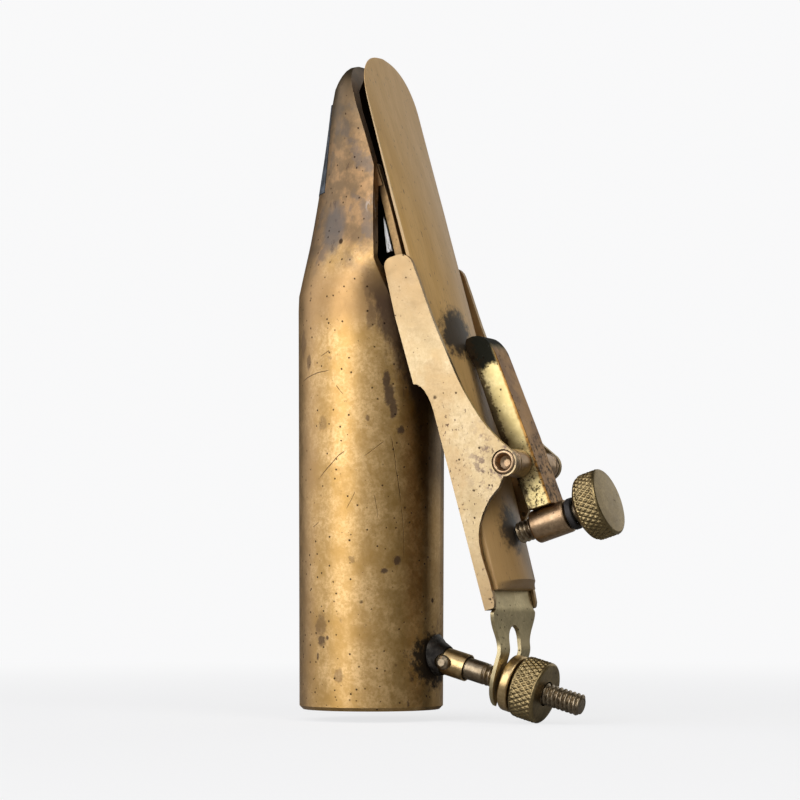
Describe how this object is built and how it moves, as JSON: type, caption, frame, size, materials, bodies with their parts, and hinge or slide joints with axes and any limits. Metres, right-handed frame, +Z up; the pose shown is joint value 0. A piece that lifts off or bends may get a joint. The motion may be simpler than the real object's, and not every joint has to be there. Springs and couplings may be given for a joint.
{
  "type": "saxophone mouthpiece with reed clamp",
  "caption": "Tenor-size metal saxophone mouthpiece with a hinged reed carrier, a rocker lever with a knurled clamp screw, and a knurled nut that sets the carrier's angle",
  "frame": {"origin": "middle of the bounding box's base, which the adjusting nut's lowest point touches", "axes": "+Z up along the tube to the beak, +X from the tube to the reed side, +Y across the reed"},
  "size_m": [0.0476, 0.0206, 0.0931],
  "materials": {
    "old_brass": "patinated, satin, speckled",
    "bright_brass": "satin, lightly tarnished",
    "yellow_brass": "polished, dark spots",
    "knurled_brass": "diamond knurled, dull olive",
    "coppery_brass": "satin, brown tarnish",
    "nickel_silver": "grey green, dull",
    "solder": "silver grey, flaky",
    "cane": "ochre cane, fine long grain",
    "soot_black": "sooty black, matt"
  },
  "bodies": {
    "mouthpiece": {"mouthpiece_body": "old_brass", "table_plate": "bright_brass", "table_solder_near": "solder", "table_solder_far": "solder", "bite_plate": "soot_black", "stud_socket": "coppery_brass", "socket_solder": "soot_black", "adjusting_stud": "coppery_brass", "stud_pin": "nickel_silver", "hinge_lug_near": "coppery_brass", "hinge_lug_far": "coppery_brass", "hinge_pin": "nickel_silver"},
    "carrier": {"reed_channel": "bright_brass", "base_plate": "nickel_silver", "plate_rivet_1": "coppery_brass", "plate_rivet_2": "coppery_brass", "plate_rivet_3": "coppery_brass", "hinge_knuckle": "coppery_brass", "pivot_pin": "coppery_brass"},
    "reed_body": {"reed": "cane"},
    "lever": {"clamp_lever": "yellow_brass", "pivot_spacer_near": "coppery_brass", "pivot_spacer_far": "coppery_brass", "screw_boss": "coppery_brass", "boss_washer": "soot_black"},
    "screw_shank": {"clamp_screw": "knurled_brass"},
    "screw_head": {"clamp_screw_head": "knurled_brass"},
    "collar": {"thrust_collar": "bright_brass"},
    "nut": {"knurled_nut": "knurled_brass"}
  },
  "joints": [
    {"name": "nut_travel", "type": "slide", "parent": "mouthpiece", "child": "collar", "axis": [-0.9622, 0, 0.2723], "range_m": [-0.0004, 0.0015]},
    {"name": "nut_spin", "type": "hinge", "parent": "collar", "child": "nut", "pos_m": [0.00937, 0, 0.00508], "axis": [-0.9622, 0, 0.2723], "range_deg": [-206, 772]},
    {"name": "carrier_tilt", "type": "hinge", "parent": "mouthpiece", "child": "carrier", "pos_m": [-0.00191, 0, 0.04771], "axis": [0, 1, 0], "range_deg": [-0.7, 2.4]},
    {"name": "clamp_screw_travel", "type": "slide", "parent": "lever", "child": "screw_shank", "axis": [0.9537, 0, 0.3007], "range_m": [0, 0.0018]},
    {"name": "clamp_lever_tilt", "type": "hinge", "parent": "carrier", "child": "lever", "pos_m": [0.01036, 0, 0.03495], "axis": [0, 1, 0], "range_deg": [-0.1, 12]},
    {"name": "clamp_screw_spin", "type": "hinge", "parent": "screw_shank", "child": "screw_head", "pos_m": [0.01859, 0, 0.02858], "axis": [0.9537, 0, 0.3007], "range_deg": [-10, 940]},
    {"name": "reed_slide", "type": "slide", "parent": "carrier", "child": "reed_body", "axis": [-0.2588, 0, 0.9659], "range_m": [0, 0.01]}
  ],
  "couplings": [
    {"joint": "nut_spin", "follows": "nut_travel", "rad_per_m": 8976},
    {"joint": "carrier_tilt", "follows": "nut_travel", "rad_per_m": 26.353},
    {"joint": "clamp_lever_tilt", "follows": "clamp_screw_travel", "rad_per_m": 115.61},
    {"joint": "clamp_screw_spin", "follows": "clamp_screw_travel", "rad_per_m": 8976}
  ]
}
